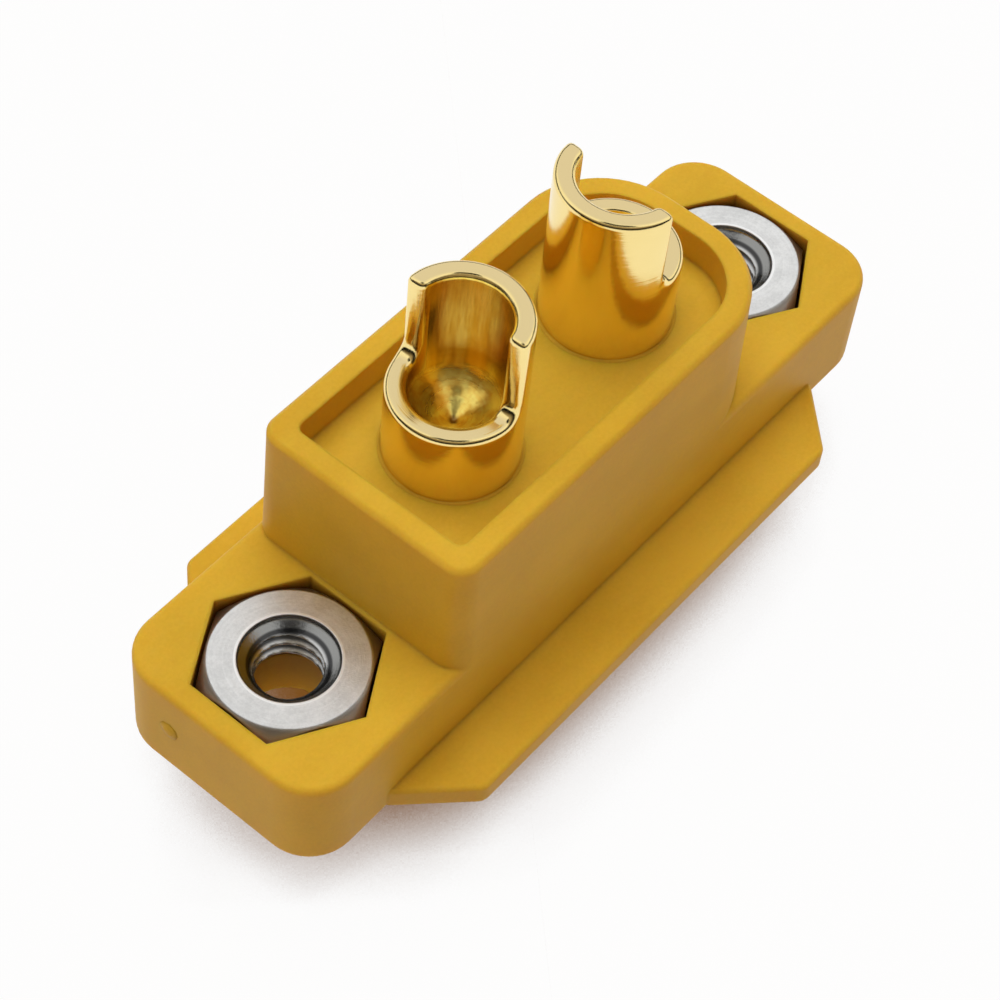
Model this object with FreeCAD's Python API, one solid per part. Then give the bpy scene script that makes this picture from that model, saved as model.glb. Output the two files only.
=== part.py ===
import FreeCAD, Part
import math
import os

# Two-pole battery lead connector for panel mounting, modelled in millimetres.
# It stands on the rim of its mating shroud, with the solder cups on top.
# X runs along the flange towards the rounded end, Z points out of the rear.

Vector = FreeCAD.Vector

# Mating shell: one D-shaped outline from the shroud rim to the rear rim
shell_length = 15.8
shell_width = 8.1
square_end_corner = 0.8
round_end_corner = 3.2
side_wall = 0.75
end_wall = 0.75
cavity_corner = 0.3
cavity_chamfer = 2.3
shell_edge_chamfer = 0.15
shroud_draft = 0.04
rear_draft = 0.1

# Heights along Z, stacked from the shroud rim
shroud_height = 3.1
flange_height = 3.85
rear_height = 4.75
cavity_depth = 8.0
rear_recess = 1.2
rear_wall = 0.8

# Softened mouth of the shroud
lead_in_width = 0.2
lead_in_depth = 0.8

# Keying rib inside the shroud, on one long wall
key_width = 1.8
key_reach = 0.55
key_offset = -0.45
key_round = 0.35

# Flange: thick ears, and a thin wide plate at the front face
ear_reach = 3.35
ear_corner = 1.6
ear_edge_round = 0.25
plate_height = 0.85
plate_overhang = 2.05
plate_half_length = 8.65
plate_corner = 0.5
plate_edge_chamfer = 0.1

# Screw holes and nuts
screw_hole = 2.94
nut_across_flats = 5.0
nut_height = 2.0
nut_thread_hole = 2.12
nut_countersink = 3.2
nut_corner_chamfer = 0.32
nut_clearance = 0.1
pocket_gap = 0.15

# Contacts: split bullet below, solder cup above, turned as one piece
contact_pitch = 7.3
bullet_diameter = 3.5
bullet_neck = 3.3
bullet_tip_depth = 0.6
bullet_tip_round = 0.6
bullet_taper = 0.6
bullet_band = 3.2
slot_width = 0.4
slot_depth = 6.0
bullet_bore = 1.3
seat_ledge = 0.8
bore_clearance = 0.02
bullet_clearance = 0.05
cup_diameter = 4.2
cup_bore = 2.9
cup_drill = 2.88
cup_low_height = 2.8
cup_tall_height = 5.95
cup_ream_depth = 0.4
cup_drill_depth = 0.8
cup_cut_offset = -0.1
cup_cut_round = 0.5
cup_rim_chamfer = 0.1
drill_point_angle = 118.0
square_contact_slot_turn = 26.0
round_contact_slot_turn = -32.0
square_contact_cup_turn = 184.0
round_contact_cup_turn = -4.0

# Levels and positions that follow from the sizes above
half_shell = shell_length / 2
half_width = shell_width / 2
flange_front = shroud_height
flange_rear = flange_front + flange_height
rear_top = flange_rear + rear_height
recess_floor = rear_top - rear_recess
ledge_level = cavity_depth + seat_ledge
pocket_width = nut_across_flats + 2 * nut_clearance
screw_x = half_shell + pocket_gap + pocket_width / 2
half_flange = screw_x + ear_reach
plate_tip_x = plate_half_length + plate_overhang
plate_half_width = half_width + plate_overhang
pocket_floor = flange_rear - nut_height
through = 1.0


def point(x, y, z=0.0):
    return Vector(x, y, z)


def rounded_outline(corners, radii, z):
    """Closed wire through the corners at height z, each corner rounded by its radius."""
    edges = []
    count = len(corners)
    starts = []
    ends = []
    for i in range(count):
        here = Vector(corners[i][0], corners[i][1], z)
        before = Vector(corners[i - 1][0], corners[i - 1][1], z)
        after = Vector(corners[(i + 1) % count][0], corners[(i + 1) % count][1], z)
        to_before = (before - here).normalize()
        to_after = (after - here).normalize()
        half_angle = to_before.getAngle(to_after) / 2
        radius = radii[i]
        reach = radius / math.tan(half_angle)
        first = here + to_before * reach
        last = here + to_after * reach
        if radius > 0:
            middle = (to_before + to_after).normalize()
            centre = here + middle * (radius / math.sin(half_angle))
            peak = centre - middle * radius
            edges.append((i, Part.Arc(first, peak, last).toShape()))
        starts.append(first)
        ends.append(last)
    wire_edges = []
    for i in range(count):
        for index, arc in edges:
            if index == i:
                wire_edges.append(arc)
        following = starts[(i + 1) % count]
        if (following - ends[i]).Length > 1e-6:
            wire_edges.append(Part.LineSegment(ends[i], following).toShape())
    return Part.Wire(wire_edges)


def prism(wire, height):
    return Part.Face(wire).extrude(Vector(0, 0, height))


def box_between(x0, x1, y0, y1, z0, z1):
    return Part.makeBox(x1 - x0, y1 - y0, z1 - z0, Vector(x0, y0, z0))


def cylinder(diameter, x, y, z0, z1):
    return Part.makeCylinder(diameter / 2, z1 - z0, Vector(x, y, z0))


def level_edges(shape, level):
    """Edges of a shape that lie at one height."""
    found = []
    for edge in shape.Edges:
        box = edge.BoundBox
        if abs(box.ZMin - level) < 1e-4 and abs(box.ZMax - level) < 1e-4:
            found.append(edge)
    return found


def shell_outline(inset, z):
    """The D outline, drawn in from the outer face by an inset."""
    a = half_shell - inset
    b = half_width - inset
    small = max(square_end_corner - inset, cavity_corner)
    large = max(round_end_corner - inset, cavity_corner)
    corners = [(-a, -b), (a, -b), (a, b), (-a, b)]
    return rounded_outline(corners, [small, large, large, small], z)


def cavity_outline(spread, z):
    """The opening of the shroud: square at one end, two bevels at the other."""
    left = -half_shell + end_wall - spread
    right = half_shell - end_wall + spread
    b = half_width - side_wall + spread
    bevel = cavity_chamfer
    corners = [(left, -b), (right - bevel, -b), (right, -b + bevel),
               (right, b - bevel), (right - bevel, b), (left, b)]
    return rounded_outline(corners, [cavity_corner] * 6, z)


def loft_outlines(sections):
    wires = [shell_outline(inset, z) for inset, z in sections]
    return Part.makeLoft(wires, True, True)


def make_shell():
    """Straight inside the flange, and drawn in a little towards both rims."""
    middle = prism(shell_outline(0, flange_front), flange_height)
    shroud = loft_outlines([
        (shroud_draft + shell_edge_chamfer, 0),
        (shroud_draft, shell_edge_chamfer),
        (0, flange_front),
    ])
    rear = loft_outlines([
        (0, flange_rear),
        (rear_draft, rear_top - shell_edge_chamfer),
        (rear_draft + shell_edge_chamfer, rear_top),
    ])
    return middle.fuse(shroud).fuse(rear)


def make_flange():
    corners = [(-half_flange, -half_width), (half_flange, -half_width),
               (half_flange, half_width), (-half_flange, half_width)]
    ears = prism(rounded_outline(corners, [ear_corner] * 4, flange_front), flange_height)
    edges = level_edges(ears, flange_front) + level_edges(ears, flange_rear)
    ears = ears.makeFillet(ear_edge_round, edges)
    a, b = plate_half_length, plate_tip_x
    v, w = half_width, plate_half_width
    corners = [(-b, -v), (-a, -w), (a, -w), (b, -v), (b, v), (a, w), (-a, w), (-b, v)]
    radii = [0, plate_corner, plate_corner, 0, 0, plate_corner, plate_corner, 0]
    plate = prism(rounded_outline(corners, radii, flange_front), plate_height)
    edges = level_edges(plate, flange_front) + level_edges(plate, flange_front + plate_height)
    plate = plate.makeChamfer(plate_edge_chamfer, edges)
    return ears.fuse(plate)


def make_cavity():
    depth = prism(cavity_outline(0, 0), cavity_depth)
    mouth = Part.makeLoft([cavity_outline(lead_in_width, 0), cavity_outline(0, lead_in_depth)],
                          True, True)
    inner = half_width - side_wall - key_reach
    outer = half_width - side_wall + lead_in_width + through
    corners = [(key_offset - key_width / 2, inner), (key_offset + key_width / 2, inner),
               (key_offset + key_width / 2, outer), (key_offset - key_width / 2, outer)]
    key = prism(rounded_outline(corners, [key_round, key_round, 0, 0], 0), cavity_depth)
    return depth.fuse(mouth).cut(key)


def hexagon(across_flats, x, z):
    """Hexagon with two corners on the Y axis and two flats facing the ends."""
    radius = across_flats / 2 / math.cos(math.pi / 6)
    points = []
    for i in range(7):
        angle = math.radians(30 + 60 * i)
        points.append(Vector(x + radius * math.cos(angle), radius * math.sin(angle), z))
    return Part.makePolygon(points)


def make_housing():
    body = make_flange().fuse(make_shell())
    body = body.cut(make_cavity())
    recess_outline = shell_outline(rear_draft + rear_wall, recess_floor)
    recess = prism(recess_outline, rear_recess + through)
    body = body.cut(recess)
    for side in (-1, 1):
        x = side * contact_pitch / 2
        neck_bore = bullet_diameter + 2 * bullet_clearance
        body = body.cut(cylinder(neck_bore, x, 0, cavity_depth - through, ledge_level))
        seat_bore = cup_diameter + 2 * bore_clearance
        body = body.cut(cylinder(seat_bore, x, 0, ledge_level, recess_floor + through))
        hole_x = side * screw_x
        body = body.cut(cylinder(screw_hole, hole_x, 0, flange_front - through, flange_rear))
        pocket = prism(hexagon(pocket_width, hole_x, pocket_floor), nut_height + through)
        body = body.cut(pocket)
    return body.removeSplitter()


def make_contact(x, slot_turn, cup_turn):
    """One contact, from the split bullet at the bottom to the solder cup on top."""
    tip = bullet_tip_depth
    neck_radius = bullet_neck / 2
    belly_radius = bullet_diameter / 2
    cup_radius = cup_diameter / 2
    low_top = recess_floor + cup_low_height
    tall_top = recess_floor + cup_tall_height
    band_start = tip + bullet_tip_round + bullet_taper
    band_end = band_start + bullet_band
    neck_start = tip + slot_depth + 0.5
    round_offset = bullet_tip_round * (1 - math.sqrt(0.5))
    shoulder_radius = belly_radius - 0.05
    path = [
        Part.LineSegment(point(0, 0, tip), point(shoulder_radius - bullet_tip_round, 0, tip)),
        Part.Arc(point(shoulder_radius - bullet_tip_round, 0, tip),
                 point(shoulder_radius - round_offset, 0, tip + round_offset),
                 point(shoulder_radius, 0, tip + bullet_tip_round)),
        Part.LineSegment(point(shoulder_radius, 0, tip + bullet_tip_round),
                         point(belly_radius, 0, band_start)),
        Part.LineSegment(point(belly_radius, 0, band_start), point(belly_radius, 0, band_end)),
        Part.LineSegment(point(belly_radius, 0, band_end), point(neck_radius, 0, neck_start)),
        Part.LineSegment(point(neck_radius, 0, neck_start), point(neck_radius, 0, ledge_level)),
        Part.LineSegment(point(neck_radius, 0, ledge_level), point(cup_radius, 0, ledge_level)),
        Part.LineSegment(point(cup_radius, 0, ledge_level), point(cup_radius, 0, tall_top)),
        Part.LineSegment(point(cup_radius, 0, tall_top), point(0, 0, tall_top)),
        Part.LineSegment(point(0, 0, tall_top), point(0, 0, tip)),
    ]
    outline = Part.Wire([piece.toShape() for piece in path])
    solid = Part.Face(outline).revolve(point(0, 0), Vector(0, 0, 1), 360)

    # Drilled with a pointed drill, then reamed to the wire's size
    drilled = low_top - cup_drill_depth
    drill_radius = cup_drill / 2
    point_depth = drill_radius / math.tan(math.radians(drill_point_angle / 2))
    solid = solid.cut(cylinder(cup_drill, 0, 0, drilled, tall_top + through))
    cone = Part.makeCone(0, drill_radius, point_depth, point(0, 0, drilled - point_depth))
    solid = solid.cut(cone)
    solid = solid.cut(cylinder(cup_bore, 0, 0, low_top - cup_ream_depth, tall_top + through))

    # The open side of the cup, milled away down to the low ring
    reach = cup_radius + through
    r = cup_cut_round
    edge = cup_cut_offset
    cut_path = [
        Part.LineSegment(point(reach, -reach, low_top), point(edge + r, -reach, low_top)),
        Part.Arc(point(edge + r, -reach, low_top),
                 point(edge + r * (1 - math.sqrt(0.5)), -reach, low_top + r * (1 - math.sqrt(0.5))),
                 point(edge, -reach, low_top + r)),
        Part.LineSegment(point(edge, -reach, low_top + r), point(edge, -reach, tall_top + through)),
        Part.LineSegment(point(edge, -reach, tall_top + through),
                         point(reach, -reach, tall_top + through)),
        Part.LineSegment(point(reach, -reach, tall_top + through), point(reach, -reach, low_top)),
    ]
    cutter = Part.Face(Part.Wire([piece.toShape() for piece in cut_path]))
    cutter = cutter.extrude(Vector(0, 2 * reach, 0))
    cutter.rotate(point(0, 0), Vector(0, 0, 1), cup_turn)
    solid = solid.cut(cutter)
    rims = level_edges(solid, tall_top) + level_edges(solid, low_top)
    solid = solid.makeChamfer(cup_rim_chamfer, rims)

    slot_top = tip + slot_depth
    solid = solid.cut(cylinder(bullet_bore, 0, 0, tip - through, slot_top + 0.4))
    for turn in (slot_turn, slot_turn + 90):
        slot = box_between(-reach, reach, -slot_width / 2, slot_width / 2, tip - through, slot_top)
        slot.rotate(point(0, 0), Vector(0, 0, 1), turn)
        solid = solid.cut(slot)
    solid.translate(point(x, 0))
    return solid


def make_nut(x):
    blank = prism(hexagon(nut_across_flats, x, pocket_floor), nut_height)
    corner_radius = nut_across_flats / 2 / math.cos(math.pi / 6)
    face_radius = corner_radius - nut_corner_chamfer * math.sqrt(3)
    rise = nut_corner_chamfer
    reach = face_radius + rise * math.sqrt(3)
    lower = Part.makeCone(face_radius, reach, rise, point(x, 0, pocket_floor))
    middle = cylinder(2 * reach, x, 0, pocket_floor + rise, flange_rear - rise)
    upper = Part.makeCone(reach, face_radius, rise, point(x, 0, flange_rear - rise))
    nut = blank.common(lower.fuse(middle).fuse(upper))
    nut = nut.cut(cylinder(nut_thread_hole, x, 0, pocket_floor - through, flange_rear + through))
    sink = (nut_countersink - nut_thread_hole) / 2
    low_sink = Part.makeCone(nut_countersink / 2, nut_thread_hole / 2, sink,
                             point(x, 0, pocket_floor))
    top_sink = Part.makeCone(nut_thread_hole / 2, nut_countersink / 2, sink,
                             point(x, 0, flange_rear - sink))
    return nut.cut(low_sink).cut(top_sink).removeSplitter()


pieces = {
    "housing": make_housing(),
    "contact_square_end": make_contact(-contact_pitch / 2, square_contact_slot_turn,
                                       square_contact_cup_turn),
    "contact_round_end": make_contact(contact_pitch / 2, round_contact_slot_turn,
                                      round_contact_cup_turn),
    "nut_square_end": make_nut(-screw_x),
    "nut_round_end": make_nut(screw_x),
}

os.makedirs("parts", exist_ok=True)
for name, shape in pieces.items():
    if shape.ShapeType == "Compound" and len(shape.Solids) == 1:
        shape = shape.Solids[0]
    shape.exportStep("parts/" + name + ".step")
    print(name, shape.ShapeType, shape.isValid(), len(shape.Solids), round(shape.Volume, 3))
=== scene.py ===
import math

import bmesh
import bpy
from mathutils import Matrix, Vector


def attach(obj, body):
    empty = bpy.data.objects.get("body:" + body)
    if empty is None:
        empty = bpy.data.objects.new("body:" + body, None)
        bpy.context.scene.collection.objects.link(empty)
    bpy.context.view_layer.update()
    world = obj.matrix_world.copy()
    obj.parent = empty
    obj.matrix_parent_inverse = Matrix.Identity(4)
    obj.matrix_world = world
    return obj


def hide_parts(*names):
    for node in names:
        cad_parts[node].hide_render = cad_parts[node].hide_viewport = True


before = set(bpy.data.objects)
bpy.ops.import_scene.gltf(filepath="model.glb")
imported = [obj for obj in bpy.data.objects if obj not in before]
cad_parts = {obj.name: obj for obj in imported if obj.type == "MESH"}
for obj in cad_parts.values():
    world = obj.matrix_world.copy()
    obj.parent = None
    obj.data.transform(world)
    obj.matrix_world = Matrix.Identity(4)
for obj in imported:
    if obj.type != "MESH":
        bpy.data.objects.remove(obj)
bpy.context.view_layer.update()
MM = 0.001


# The table: a pale matt sheet under a white room, with a broad soft lamp above, a weak one on the
# left and a small warm panel on the right. White is shown to the eye, to gloss and to glass alone,
# and a dark felt card round the table, seen in gloss alone, draws the outlines of the gold.

class Wire:
    """The value of one socket; arithmetic on wires adds Math nodes to their tree."""

    def __init__(self, tree, socket=None):
        self.tree = tree
        self.socket = socket

    def node(self, kind, settings=None, values=None, out=0):
        """Adds a node, sets it up, fills its sockets and gives the wire from one output."""
        made = self.tree.nodes.new(kind)
        for name, value in (settings or {}).items():
            setattr(made, name, value)
        for name, value in (values or {}).items():
            if isinstance(value, Wire):
                self.tree.links.new(value.socket, made.inputs[name])
            else:
                made.inputs[name].default_value = value
        return Wire(self.tree, made.outputs[out]) if made.outputs else made

    def other(self, out):
        """Another output of the same node."""
        return Wire(self.tree, self.socket.node.outputs[out])

    def math(self, operation, *values):
        """A Math node of that operation on wires and numbers."""
        return self.node("ShaderNodeMath", {"operation": operation}, dict(enumerate(values)))

    def __add__(self, value):
        return self.math("ADD", self, value)

    __radd__ = __add__

    def __sub__(self, value):
        return self.math("SUBTRACT", self, value)

    def __rsub__(self, value):
        return self.math("SUBTRACT", value, self)

    def __mul__(self, value):
        return self.math("MULTIPLY", self, value)

    __rmul__ = __mul__

    def mix(self, colour_at_0, colour_at_1):
        """Goes from one colour to the other as this wire goes from 0 to 1."""
        return self.node("ShaderNodeMix", {"data_type": "RGBA"},
                         {0: self, 6: colour_at_0, 7: colour_at_1}, 2)

    def step(self, low, high):
        """0 below low, 1 above high, and smooth between them."""
        return self.node("ShaderNodeMapRange", {"interpolation_type": "SMOOTHSTEP"},
                         {"Value": self, "From Min": low, "From Max": high})


def new_tree(owner):
    """An emptied node tree, as the wire that its nodes are added from."""
    owner.use_nodes = True
    owner.node_tree.nodes.clear()
    return Wire(owner.node_tree)


def white_to_see(start):
    """1 for rays that look straight, off gloss or through glass, and 0 for light itself."""
    path = start.node("ShaderNodeLightPath", out="Is Camera Ray")
    bounced = path.math("MAXIMUM", path.other("Is Glossy Ray"), path.other("Is Transmission Ray"))
    return path.math("MAXIMUM", path, bounced)


white = (1, 1, 1, 1)
room_light = (0.25, 0.21, 0.16, 1)
room = bpy.data.worlds.new("room")
bpy.context.scene.world = room
start = new_tree(room)
seen = white_to_see(start)
glow = start.node("ShaderNodeBackground", {}, {"Color": seen.mix(room_light, white)})
start.node("ShaderNodeOutputWorld", {}, {"Surface": glow})

sheet_half = 1.5
sheet_colour = (0.66, 0.57, 0.45, 1)
shadow_colour = (0.20, 0.08, 0.015, 1)
shadow_reach = 0.009
shadow_full, shadow_end = 0.26, 0.60
share_of_white = 0.96
sheet_mesh = bpy.data.meshes.new("table_sheet")
sheet_mesh.from_pydata([(-sheet_half, -sheet_half, 0), (sheet_half, -sheet_half, 0),
                        (sheet_half, sheet_half, 0), (-sheet_half, sheet_half, 0)],
                       [], [(0, 1, 2, 3)])
sheet = bpy.data.objects.new("table_sheet", sheet_mesh)
bpy.context.scene.collection.objects.link(sheet)
paper = bpy.data.materials.new("pale_paper")
start = new_tree(paper)
matt = start.node("ShaderNodeBsdfDiffuse", {}, {"Color": sheet_colour})
open_sky = start.node("ShaderNodeAmbientOcclusion", {"samples": 8},
                      {"Distance": shadow_reach}, "AO")
glow = start.node("ShaderNodeEmission", {}, {
    "Color": open_sky.step(shadow_full, shadow_end).mix(shadow_colour, white)})
shown = start.node("ShaderNodeMixShader", {}, {
    0: white_to_see(start) * share_of_white, 1: matt, 2: glow})
start.node("ShaderNodeOutputMaterial", {}, {"Surface": shown})
sheet_mesh.materials.append(paper)

card_reach, card_steps = 0.25, 48
card_foot, card_top = 0.02, 0.085
card_rise, eye_turn = 0.235, math.radians(-146)
flap_edges = ((0.245, 0.330), (0.105, 0.350))
flap_turns = (-0.6, -0.2, 0.2, 0.6)
black_felt, grey_felt = (0.004, 0.004, 0.003, 1), (0.42, 0.35, 0.26, 1)
black_below, grey_above = 0.07, 0.25
grey_below, black_above = 0.322, 0.328
card_points, card_faces = [], []
for step in range(card_steps):
    turn = 2 * math.pi * step / card_steps
    for height in (card_foot, card_top + card_rise * max(0, math.cos(turn - eye_turn))):
        card_points.append((card_reach * math.cos(turn), card_reach * math.sin(turn), height))
    after = (step + 1) % card_steps
    card_faces.append((2 * step, 2 * after, 2 * after + 1, 2 * step + 1))
low_corner, width = len(card_points), len(flap_turns)
for reach, height in flap_edges:
    for turn in flap_turns:
        card_points.append((reach * math.cos(eye_turn + turn),
                            reach * math.sin(eye_turn + turn), height))
for corner in range(low_corner, low_corner + width - 1):
    card_faces.append((corner, corner + 1, corner + 1 + width, corner + width))
card_mesh = bpy.data.meshes.new("dark_card")
card_mesh.from_pydata(card_points, [], card_faces)
card = bpy.data.objects.new("dark_card", card_mesh)
bpy.context.scene.collection.objects.link(card)
felt = bpy.data.materials.new("dark_felt")
start = new_tree(felt)
place = start.node("ShaderNodeTexCoord", out="Object")
height = place.node("ShaderNodeSeparateXYZ", {}, {0: place}, "Z")
greyed = height.step(black_below, grey_above) * (1 - height.step(grey_below, black_above))
glow = start.node("ShaderNodeEmission", {}, {"Color": greyed.mix(black_felt, grey_felt)})
start.node("ShaderNodeOutputMaterial", {}, {"Surface": glow})
card_mesh.materials.append(felt)
card.visible_camera = False
card.visible_diffuse = False
card.visible_shadow = False

lamps = {"soft_lamp_above": (2.25, 56, (0.10, 0.20, 1.0), (0.97, 1.05, 1.3)),
         "soft_lamp_left": (0.38, 60, (-0.9, 0.5, 0.55), (1, 0.80, 0.58))}
for name, (energy, spread, towards, colour) in lamps.items():
    lamp_data = bpy.data.lights.new(name, "SUN")
    lamp_data.energy = energy
    lamp_data.color = colour
    lamp_data.angle = math.radians(spread)
    lamp = bpy.data.objects.new(name, lamp_data)
    bpy.context.scene.collection.objects.link(lamp)
    lamp.rotation_euler = Vector(towards).to_track_quat("Z", "Y").to_euler()
    lamp.visible_glossy = False

panel_data = bpy.data.lights.new("near_panel", "AREA")
panel_data.energy = 0.016
panel_data.color = (1, 0.74, 0.46)
panel_data.size = 0.07
panel = bpy.data.objects.new("near_panel", panel_data)
bpy.context.scene.collection.objects.link(panel)
panel.location = (0.085, -0.070, 0.045)
panel.rotation_euler = panel.location.to_track_quat("Z", "Y").to_euler()
panel.visible_glossy = False

eye = Vector((-44.14, -29.70, 75.09)) * MM
forward = Vector((0.4947, 0.3389, -0.8003)).normalized()
level = Vector((0.6758, -0.7370, 0.0072))
right = (level - forward * level.dot(forward)).normalized()
above = right.cross(forward)
camera_data = bpy.data.cameras.new("camera")
camera_data.lens = 100
camera_data.clip_start = 0.005
camera_data.clip_end = 20
camera = bpy.data.objects.new("camera", camera_data)
bpy.context.scene.collection.objects.link(camera)
camera.matrix_world = (Matrix.Translation(eye)
                       @ Matrix((right, above, -forward)).transposed().to_4x4())
bpy.context.scene.camera = camera
bpy.context.scene.view_settings.view_transform = "Standard"


# Housing: one moulding of golden yellow nylon, satin from a finely eroded mould.
# It is filled through a small gate in the square ear's end, and its edges come out a little soft.

def in_millimetres(start):
    """Places on the object in its own frame, in millimetres."""
    place = start.node("ShaderNodeTexCoord", out="Object")
    return start.node("ShaderNodeVectorMath", {"operation": "SCALE"}, {0: place, "Scale": 1000})


def noise(place, scale, detail=2.0, roughness=0.5):
    """Cloudy values about 0.5; scale is in clouds per unit of place."""
    return place.node("ShaderNodeTexNoise", {}, {"Vector": place, "Scale": scale,
                                                 "Detail": detail, "Roughness": roughness})


def finish_material(start, values):
    shader = start.node("ShaderNodeBsdfPrincipled", {}, values)
    start.node("ShaderNodeOutputMaterial", {}, {"Surface": shader})


def soft_edges(start, radius, height, depth, strength=1.0):
    """Normal with edges rounded by a radius and a relief of a depth, both in millimetres."""
    rounded = start.node("ShaderNodeBevel", {"samples": 4}, {"Radius": radius * MM})
    return start.node("ShaderNodeBump", {}, {"Strength": strength, "Distance": depth * MM,
                                             "Height": height, "Normal": rounded})


# How far the nylon's painted crevice shade reaches, in millimetres.
crevice_shade_reach = 0.6
dim_skin, bright_skin = (0.62, 0.358, 0.021, 1), (0.71, 0.424, 0.032, 1)


def nylon_material(name, subsurface, crevice_shade):
    """Golden nylon, cloudy along the mould's flow, with painted shade in its crevices."""
    nylon = bpy.data.materials.new(name)
    start = new_tree(nylon)
    place = in_millimetres(start)
    clouds = noise(place, 0.22, 3.0)
    drift = start.node("ShaderNodeMapping", {}, {"Vector": place, "Scale": (0.12, 0.55, 0.4)})
    flow = noise(drift, 1.0, 4.0, 0.6)
    grain = noise(place, 9.0, 3.0, 0.6)
    fine_grain = noise(place, 26.0, 2.0)
    tone = (clouds * 0.45 + flow * 0.3 + grain * 0.25).step(0.36, 0.64)
    # Painted shade: the colour darkens towards the crevice colour where the surface is closed in
    # nearby.
    openness_for_shade = start.node("ShaderNodeAmbientOcclusion", {"samples": 4},
                           {"Distance": crevice_shade_reach * MM}, "AO")
    finish_material(start, {
        "Base Color": openness_for_shade.step(0.1, 0.5).mix(crevice_shade, tone.mix(dim_skin, bright_skin)),
        "Roughness": 0.42 + 0.10 * clouds + 0.10 * grain,
        "Specular IOR Level": 0.25,
        "Subsurface Weight": subsurface,
        "Subsurface Radius": (1.0, 0.35, 0.06),
        "Subsurface Scale": 0.0012,
        "Normal": soft_edges(start, 0.2, grain * 0.6 + fine_grain * 0.4, 0.006),
    })
    return nylon


nylon = nylon_material("golden_nylon", 0.4, (0.20, 0.06, 0.005, 1))
thin_nylon = nylon_material("golden_nylon_marks", 0.0, (0.58, 0.32, 0.018, 1))


edge_turn = math.radians(35)


def new_piece(name, mesh, material):
    """Turns a mesh made in millimetres into a piece of the object, smooth but for its edges."""
    mesh.transform(Matrix.Scale(MM, 4))
    bmesh.ops.recalc_face_normals(mesh, faces=mesh.faces)
    if mesh.calc_volume(signed=True) < 0:
        bmesh.ops.reverse_faces(mesh, faces=mesh.faces)
    data = bpy.data.meshes.new(name)
    mesh.to_mesh(data)
    mesh.free()
    data.shade_smooth()
    data.set_sharp_from_angle(angle=edge_turn)
    data.materials.append(material)
    piece = bpy.data.objects.new(name, data)
    bpy.context.scene.collection.objects.link(piece)
    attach(piece, "root")
    return piece


def bridge(mesh, ring, following):
    """Joins two rings of as many points by a band of faces."""
    for i in range(len(ring)):
        j = (i + 1) % len(ring)
        mesh.faces.new((ring[i], ring[j], following[j], following[i]))


housing_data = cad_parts["housing"].data
housing_data.materials.clear()
housing_data.materials.append(nylon)

ear_side = 4.05
sign_x, sign_height = 11.0, 5.2
sign_relief = 0.07
sign_half_length, sign_half_width = 0.55, 0.10
sign_profile = ((-0.03, 0), (0.6, 0), (0.9, 0.03), (1.0, 0.06))
sign_steps = 24


def raised_bar(mesh, centre, along):
    """A low bar on the ear's side, round at its ends and drawn in towards its top."""
    across = Vector((0, 1, 0)).cross(along)
    rings = []
    for rise, inset in sign_profile:
        ring = []
        for step in range(sign_steps):
            turn = 2 * math.pi * step / sign_steps
            reach = sign_half_width - inset
            shift = math.copysign(sign_half_length - sign_half_width, math.cos(turn))
            place = (centre + along * (shift + reach * math.cos(turn))
                     + across * (reach * math.sin(turn)))
            ring.append(mesh.verts.new(place + Vector((0, sign_relief * rise, 0))))
        rings.append(ring)
    for ring, following in zip(rings, rings[1:]):
        bridge(mesh, ring, following)
    mesh.faces.new(rings[0][::-1])
    mesh.faces.new(rings[-1])


for name, x, turns in (("plus_sign", -sign_x, (0, 90)), ("minus_sign", sign_x, (0,))):
    mesh = bmesh.new()
    for turn in turns:
        along = Matrix.Rotation(math.radians(turn), 3, "Y") @ Vector((1, 0, 0))
        raised_bar(mesh, Vector((x, ear_side, sign_height)), along)
    new_piece(name, mesh, thin_nylon)

gate_centre = Vector((-14.0, 1.69, 5.12))
gate_profile = ((0.36, -0.02), (0.34, 0.02), (0.28, 0.035), (0.19, 0.04), (0.15, 0.07),
                (0.09, 0.08), (0.03, 0.06))
gate_steps = 28
mesh = bmesh.new()
rings = []
for radius, rise in gate_profile:
    ring = []
    for step in range(gate_steps):
        turn = 2 * math.pi * step / gate_steps
        wavy = radius * (1 + 0.03 * math.sin(3 * turn + 1)
                         + 0.03 * math.sin(8 * turn + 20 * radius))
        torn = rise * (1 + 0.15 * math.sin(2 * turn + 0.5))
        ring.append(mesh.verts.new(gate_centre + Vector((
            -torn, wavy * math.cos(turn), wavy * math.sin(turn)))))
    rings.append(ring)
for ring, following in zip(rings, rings[1:]):
    bridge(mesh, ring, following)
mesh.faces.new(rings[0][::-1])
mesh.faces.new(rings[-1])
new_piece("gate_scar", mesh, thin_nylon)


# Contacts: turned from brass bar, slit, milled open and plated with gold, pressed into the web.
# Lathe marks run round them, the drilled cup has streaks along its wall, and tumbling has rounded
# the milled rims. A thin lip of nylon stands round each where it was pressed in.

contact_x = 3.65
cup_outer, cup_inner = 2.1, 1.45
recess_floor = 10.5
drill_floor = 12.5
# The bore's bright band and the deeper gold to either side of it are painted light and painted
# shade.
bore_highlight_y = 0.5
turned_golds = (0.92, 0.72, 0.29, 1), (0.98, 0.79, 0.35, 1)
milled_gold = (0.74, 0.59, 0.30, 1)
bored_golds = (0.80, 0.50, 0.05, 1), (1.0, 0.78, 0.17, 1)
bore_shade_gold = (0.66, 0.37, 0.03, 1)
drilled_golds = (0.86, 0.56, 0.10, 1), (1.0, 0.80, 0.20, 1)
# Painted shade: the dark colour at the centre of the drill point.
drill_point_shade_gold = (0.30, 0.17, 0.05, 1)

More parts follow.
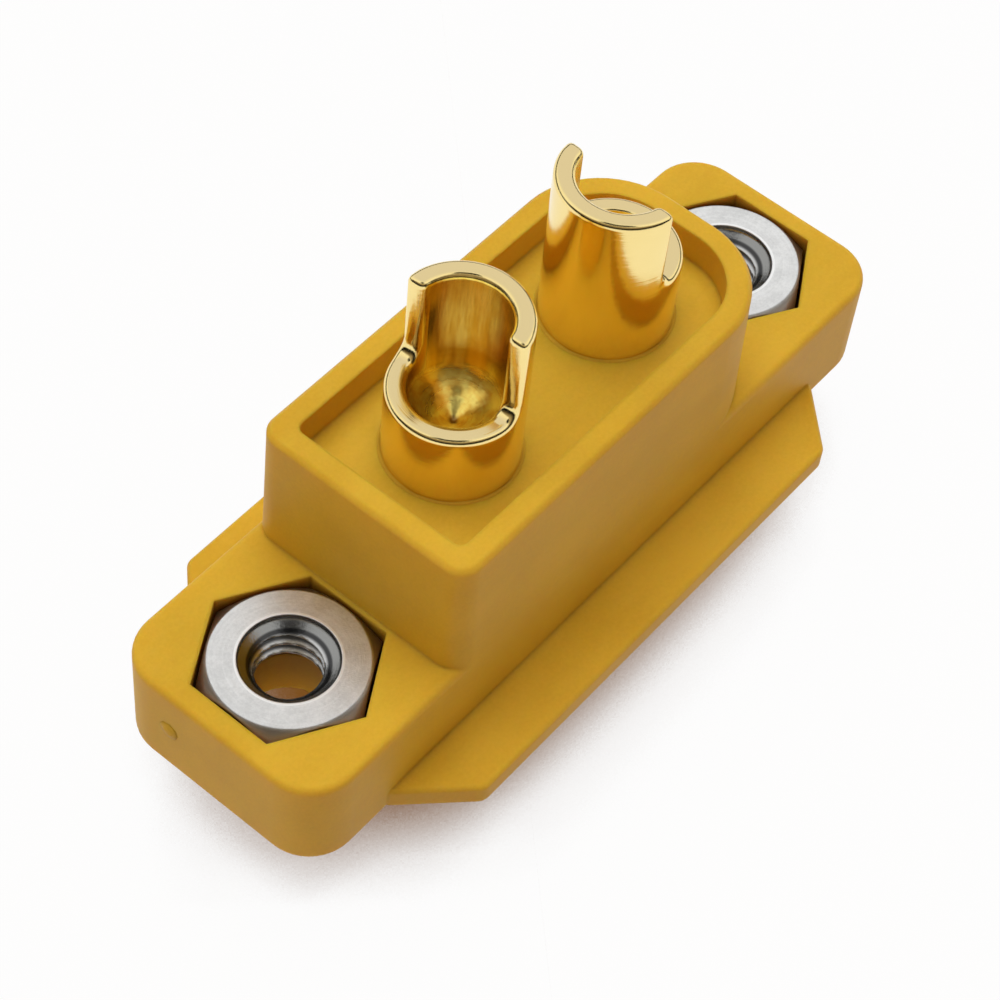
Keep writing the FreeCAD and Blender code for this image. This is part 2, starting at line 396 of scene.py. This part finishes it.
plating = bpy.data.materials.new("gold_plating")
start = new_tree(plating)
place = in_millimetres(start)
across = place.node("ShaderNodeSeparateXYZ", {}, {0: place}, "X")
along, height = across.other("Y"), across.other("Z")
across = across.math("ABSOLUTE", across) - contact_x
from_axis = across.math("SQRT", across * across + along * along)
turn = across.math("ARCTAN2", along, across)
rings = noise(start.node("ShaderNodeCombineXYZ", {}, {0: from_axis * 9, 1: height * 9,
                                                      2: turn * 0.5}), 1.0, 3.0, 0.6)
streaks = noise(start.node("ShaderNodeCombineXYZ", {}, {0: across * 2.6, 1: along * 2.6,
                                                        2: height * 0.3}), 1.0, 4.0, 0.62)
inside = (1 - from_axis.step(cup_inner + 0.01, cup_inner + 0.05)) * height.step(
    recess_floor, recess_floor + 0.1)
drilled = inside * (1 - height.step(drill_floor - 0.15, drill_floor + 0.15))
facing = start.node("ShaderNodeNewGeometry", out="Normal")
milled = facing.node("ShaderNodeSeparateXYZ", {}, {0: facing}, "Z").step(0.80, 0.97)
outer_gold = milled.mix(noise(place, 0.8).mix(*turned_golds), milled_gold)
# Painted light and shade in the bore: the wall is bright in a band along Y and turns a deeper,
# shaded gold further off on either side.
bore_shade_side = along.math("ABSOLUTE", along - bore_highlight_y).step(0.60, 1.20)
bored_gold = bore_shade_side.mix(streaks.step(0.35, 0.62).mix(*bored_golds), bore_shade_gold)
swirl = noise(place, 2.4, 2.0)
drilled_gold = (rings * 0.3 + swirl * 0.7).step(0.4, 0.6).mix(*drilled_golds)
# Painted shade: the drill point's centre is painted dark, as a shaded hole.
drilled_gold = from_axis.step(0.06, 0.22).mix(drill_point_shade_gold, drilled_gold)
inner_gold = drilled.mix(bored_gold, drilled_gold)
lathe_marks = rings * 0.25
bore_marks = streaks * 1.6 + (rings * 0.35 + swirl * 2.2 - streaks * 1.6) * drilled
marks = lathe_marks + (bore_marks - lathe_marks) * inside
finish_material(start, {
    "Base Color": inside.mix(outer_gold, inner_gold),
    "Roughness": 0.08 + 0.10 * rings + inside * 0.10 + drilled * 0.06,
    "Metallic": 1.0,
    "Normal": soft_edges(start, 0.04, marks, 0.012),
})

low_rim, tall_rim = 13.3, 16.45
cut_place, cut_round = -0.1, 0.5
low_steps, bend_steps, tall_steps, corner_gap = 36, 8, 40, 6
drill_point = 0.865
cone_parts = (0.5, 0.94)
rim_round, rim_segments, rim_turn = 0.22, 5, math.radians(40)
shoulder_drop, shoulder_turn = 0.35, 0.20
joint_level, joint_gap = 10.1, 0.1
merge_within, same_within = 0.0005, 0.0001


def cup_stations():
    """The rim in steps: its turns on the outer and on the inner circle and its height, and then
    how far the wall's next line of points stays back from it, in turn and in height."""
    def turns(across):
        return [math.acos(across / radius) for radius in (cup_outer, cup_inner)]

    half = []
    for step in range(low_steps + 1):
        half.append([turn * step / low_steps for turn in turns(cut_place + cut_round)]
                    + [low_rim, 0, shoulder_drop])
    for step in range(1, bend_steps + 1):
        lean = math.pi / 2 * step / bend_steps
        half.append(turns(cut_place + cut_round * (1 - math.sin(lean)))
                    + [low_rim + cut_round * (1 - math.cos(lean)),
                       shoulder_turn * math.sin(lean), shoulder_drop * math.cos(lean)])
    half.append(turns(cut_place) + [tall_rim, shoulder_turn, shoulder_drop])
    for step in range(corner_gap, tall_steps + 1):
        half.append([turn + (math.pi - turn) * step / tall_steps for turn in turns(cut_place)]
                    + [tall_rim, 0, shoulder_drop])
    return half + [[2 * math.pi - outer, 2 * math.pi - inner, height, -back, drop]
                   for outer, inner, height, back, drop in reversed(half[1:-1])]


def cup_wall(mesh, tops, foot, stacked):
    """Faces from a line of points down to a level ring; of two stacked points both are used."""
    for i in range(len(tops)):
        j = (i + 1) % len(tops)
        if stacked[i]:
            continue
        face = [tops[i], tops[j]]
        if stacked[j] and tops[(j + 1) % len(tops)].co.z < tops[j].co.z:
            face.append(tops[(j + 1) % len(tops)])
        face += [foot[j], foot[i]]
        if stacked[i - 1] and tops[i - 1].co.z < tops[i].co.z:
            face.append(tops[i - 1])
        mesh.faces.new(face)


def in_fixed_order(mesh):
    """The same faces in one fixed order, because bridging two loops leaves them in any order."""
    number = {vert: i for i, vert in enumerate(mesh.verts)}
    faces = []
    for face in mesh.faces:
        corners = [number[vert] for vert in face.verts]
        first = corners.index(min(corners))
        faces.append(corners[first:] + corners[:first])
    ordered = bmesh.new()
    points = [ordered.verts.new(vert.co) for vert in mesh.verts]
    for corners in sorted(faces):
        ordered.faces.new([points[corner] for corner in corners])
    mesh.free()
    return ordered


def turned_contact(cad_node, x, cup_turn):
    """The CAD contact up to its seat, and on it a cup whose rims are rounded by a real radius."""
    mesh = bmesh.new()
    mesh.from_mesh(cad_node.data)
    bmesh.ops.transform(mesh, matrix=Matrix.Scale(1 / MM, 4), verts=mesh.verts)
    bmesh.ops.remove_doubles(mesh, verts=mesh.verts, dist=merge_within)
    bmesh.ops.bisect_plane(mesh, geom=mesh.verts[:] + mesh.edges[:] + mesh.faces[:],
                           dist=same_within, plane_co=(0, 0, joint_level), plane_no=(0, 0, 1),
                           clear_outer=True)
    joint = [edge for edge in mesh.edges if edge.is_boundary]

    def point(radius, turn, height):
        turn += math.radians(cup_turn)
        return mesh.verts.new((x + radius * math.cos(turn), radius * math.sin(turn), height))

    stations = cup_stations()
    stacked = [abs(here[0] + here[3] - there[0] - there[3]) < same_within
               for here, there in zip(stations, stations[1:] + stations[:1])]
    rims, shoulders = [], []
    for pick, radius in ((0, cup_outer), (1, cup_inner)):
        rims.append([point(radius, station[pick], station[2]) for station in stations])
        shoulders.append([point(radius, station[pick] + station[3], station[2] - station[4])
                          for station in stations])
    bridge(mesh, rims[0], rims[1])
    bridge(mesh, rims[0], shoulders[0])
    bridge(mesh, rims[1], shoulders[1])

    levels = [(0, cup_outer, joint_level + joint_gap), (1, cup_inner, drill_floor)]
    levels += [(1, cup_inner * (1 - part), drill_floor - drill_point * part)
               for part in cone_parts]
    feet = []
    for pick, radius, height in levels:
        foot = []
        for i, station in enumerate(stations):
            foot.append(foot[-1] if stacked[i - 1]
                        else point(radius, station[pick] + station[3], height))
        feet.append(foot)
    cup_wall(mesh, shoulders[0], feet[0], stacked)
    cup_wall(mesh, shoulders[1], feet[1], stacked)
    tip = mesh.verts.new((x, 0, drill_floor - drill_point))
    for i in range(len(stations)):
        j = (i + 1) % len(stations)
        if not stacked[i]:
            for ring, following in zip(feet[1:], feet[2:]):
                mesh.faces.new((ring[i], ring[j], following[j], following[i]))
            mesh.faces.new((feet[-1][i], feet[-1][j], tip))
    bmesh.ops.recalc_face_normals(mesh, faces=mesh.faces)
    rim_edges = [edge for edge in mesh.edges
                 if len(edge.link_faces) == 2 and edge.calc_face_angle() > rim_turn
                 and all(vert.co.z > low_rim - merge_within for vert in edge.verts)]
    bmesh.ops.bevel(mesh, geom=rim_edges, offset=rim_round, offset_type="OFFSET",
                    segments=rim_segments, profile=0.5, affect="EDGES", clamp_overlap=False)
    joint += [edge for edge in mesh.edges if edge.is_boundary
              and all(vert.co.z > joint_level + joint_gap / 2 for vert in edge.verts)]
    bmesh.ops.bridge_loops(mesh, edges=joint)
    bmesh.ops.triangulate(mesh, faces=mesh.faces)
    return in_fixed_order(mesh)


flat_within, round_within = 0.0005, 0.004
wall_foot, bore_foot = joint_level + 0.15, drill_floor + 0.05


def even_gloss(contact, x):
    """Sets true normals on the cup's walls and flat rims, so that reflections run evenly."""
    normals = []
    for vert in contact.data.vertices:
        from_axis = vert.co / MM - Vector((x, 0, 0))
        height = from_axis.z
        from_axis.z = 0
        normal = Vector((0, 0, 0))
        if min(abs(height - low_rim), abs(height - tall_rim)) < flat_within:
            normal = Vector((0, 0, 1))
        elif height > wall_foot and abs(from_axis.length - cup_outer) < round_within:
            normal = from_axis.normalized()
        elif height > bore_foot and abs(from_axis.length - cup_inner) < round_within:
            normal = -from_axis.normalized()
        normals.append(normal)
    contact.data.normals_split_custom_set_from_vertices(normals)


for end, side, cup_turn in (("square_end", -1, 184.0), ("round_end", 1, -4.0)):
    contact = new_piece("turned_contact_" + end, turned_contact(
        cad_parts["contact_" + end], side * contact_x, cup_turn), plating)
    even_gloss(contact, side * contact_x)
    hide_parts("contact_" + end)

lip_radius, lip_thickness, lip_sunk = 2.14, 0.06, 0.02
lip_steps, lip_sides = 96, 8
for end, side in (("square_end", -1), ("round_end", 1)):
    mesh = bmesh.new()
    rings = []
    for step in range(lip_steps):
        turn = 2 * math.pi * step / lip_steps
        swell = lip_thickness * (1 + 0.12 * math.sin(5 * turn) + 0.08 * math.sin(13 * turn))
        outward = Vector((math.cos(turn), math.sin(turn), 0))
        centre = Vector((side * contact_x, 0, recess_floor - lip_sunk)) + outward * lip_radius
        ring = []
        for part in range(lip_sides):
            lean = 2 * math.pi * part / lip_sides
            ring.append(mesh.verts.new(centre + outward * swell * math.cos(lean)
                                       + Vector((0, 0, swell * math.sin(lean)))))
        rings.append(ring)
    for ring, following in zip(rings, rings[1:] + rings[:1]):
        bridge(mesh, ring, following)
    new_piece("seat_lip_" + end, mesh, thin_nylon)


# Nuts: plated steel hexagons of M2.5 size, pushed into their pockets.
# The turned ring on top is bright and satin, its corners are chamfered, and the thread starts
# under a countersink at either end.

across_flats = 5.0
nut_floor, nut_top = 4.95, 6.95
ring_radius = 2.42
corner_slope = 1.0
mouth_radius = 1.55
minor_radius, root_radius = 1.04, 1.26
thread_pitch, thread_flat, thread_flank = 0.45, 0.12, 0.72
upper_cone, lower_cone = (0.15, 0.24, 1.7), (0.25, 0.27, 1.3)
nut_x = 10.65
nut_steps = 144
bore_rows = 72
face_steels = (0.62, 0.62, 0.61, 1), (0.84, 0.84, 0.83, 1)
# The lip colour is a painted highlight, and the corner colour painted shade.
lip_highlight_steel, corner_shade_steel = (0.93, 0.93, 0.92, 1), (0.40, 0.38, 0.35, 1)
# The groove and cone colours are painted shade in the nut's bore.
groove_shade_steel, crest_steel = (0.06, 0.06, 0.06, 1), (0.56, 0.56, 0.55, 1)
cone_shade_steel = (0.29, 0.29, 0.28, 1)


def nut_ring(mesh, radius_at, height_at):
    """One ring of points round the nut's axis, from a radius and a height for each turn."""
    ring = []
    for step in range(nut_steps):
        turn = 2 * math.pi * step / nut_steps
        radius = radius_at(turn)
        ring.append(mesh.verts.new((radius * math.cos(turn), radius * math.sin(turn),
                                    height_at(turn))))
    return ring


def hexagon_radius(turn):
    """Distance from the axis to the hexagon's side, with two corners on the Y axis."""
    return across_flats / 2 / math.cos((turn + math.pi / 6) % (math.pi / 3) - math.pi / 6)


def sink_radius(depth, cone):
    """A countersink's radius at a depth: a nearly straight mouth, and then the cone."""
    mouth_slope, shift, cone_slope = cone
    return min(mouth_radius - mouth_slope * depth, mouth_radius + shift - cone_slope * depth)


def bore_radius(turn, height):
    """The threaded hole, opened at the top by a short countersink and below by a longer one."""
    phase = abs(2 * ((height / thread_pitch - turn / (2 * math.pi)) % 1) - 1)
    groove = min(max((phase - thread_flat) / thread_flank, 0), 1)
    thread = minor_radius + (root_radius - minor_radius) * groove
    return max(thread, sink_radius(nut_top - height, upper_cone),
               sink_radius(height - nut_floor, lower_cone))


def threaded_nut(x):
    """The whole nut as one closed skin, from the mouth over the ring and round to its bore."""
    mesh = bmesh.new()
    rings = [nut_ring(mesh, lambda turn: mouth_radius, lambda turn: nut_top),
             nut_ring(mesh, lambda turn: ring_radius, lambda turn: nut_top)]
    for level, sign in ((nut_top, -1), (nut_floor, 1)):
        rings.append(nut_ring(mesh, hexagon_radius, lambda turn: level + sign * (
            hexagon_radius(turn) - ring_radius) * corner_slope))
    rings.append(nut_ring(mesh, lambda turn: ring_radius, lambda turn: nut_floor))
    rings.append(nut_ring(mesh, lambda turn: mouth_radius, lambda turn: nut_floor))
    for row in range(1, bore_rows):
        height = nut_floor + (nut_top - nut_floor) * row / bore_rows
        rings.append(nut_ring(mesh, lambda turn: bore_radius(turn, height), lambda turn: height))
    for ring, following in zip(rings, rings[1:] + rings[:1]):
        bridge(mesh, ring, following)
    mesh.transform(Matrix.Translation((x, 0, 0)))
    return mesh


steel = bpy.data.materials.new("plated_steel")
start = new_tree(steel)
place = in_millimetres(start)
across = place.node("ShaderNodeSeparateXYZ", {}, {0: place}, "X")
along, height = across.other("Y"), across.other("Z")
across = across.math("ABSOLUTE", across) - nut_x
from_axis = across.math("SQRT", across * across + along * along)
turn = across.math("ARCTAN2", along, across)
rings = noise(start.node("ShaderNodeCombineXYZ", {}, {0: from_axis * 14, 1: height * 14,
                                                      2: turn * 0.8}), 1.0, 4.0, 0.7)
blotches = noise(place, 1.3, 3.0)
scratches = noise(start.node("ShaderNodeCombineXYZ", {}, {0: across * 3 + along * 2,
                                                          1: along * 22 - across * 14}), 1.0, 3.0)
specks = noise(place, 11.0, 3.0, 0.7)
in_bore = 1 - from_axis.step(mouth_radius - 0.05, mouth_radius + 0.02)
wear = (blotches * 0.4 + rings * 0.25 + specks * 0.35).step(0.32, 0.68)
# Painted highlight: a bright ring of colour at the edge of the bore's mouth.
lip_highlight = 1 - across.math("ABSOLUTE", from_axis - mouth_radius - 0.04).step(0.03, 0.07)
# Painted shade: the chamfered corners beyond the ring are painted darker.
shaded_corner = from_axis.step(ring_radius, ring_radius + 0.1)
# Painted shade in the bore: the thread's grooves are painted near black and the countersink cone
# dark grey.
at_crest = 1 - from_axis.step(minor_radius + 0.04, minor_radius + 0.14)
in_cone = from_axis.step(root_radius - 0.02, root_radius + 0.05)
face_steel = shaded_corner.mix(lip_highlight.mix(wear.mix(*face_steels), lip_highlight_steel), corner_shade_steel)
bore_steel = in_cone.mix(at_crest.mix(groove_shade_steel, crest_steel), cone_shade_steel)
finish_material(start, {
    "Base Color": in_bore.mix(face_steel, bore_steel),
    "Roughness": 0.30 + 0.12 * blotches + 0.06 * specks - in_bore * 0.20,
    "Metallic": 1.0,
    "Normal": soft_edges(start, 0.06, rings * 0.3 + specks * 0.6 + scratches * 0.3, 0.009),
})
for end, side in (("square_end", -1), ("round_end", 1)):
    nut = new_piece("threaded_nut_" + end, threaded_nut(side * nut_x), steel)
    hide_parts("nut_" + end)
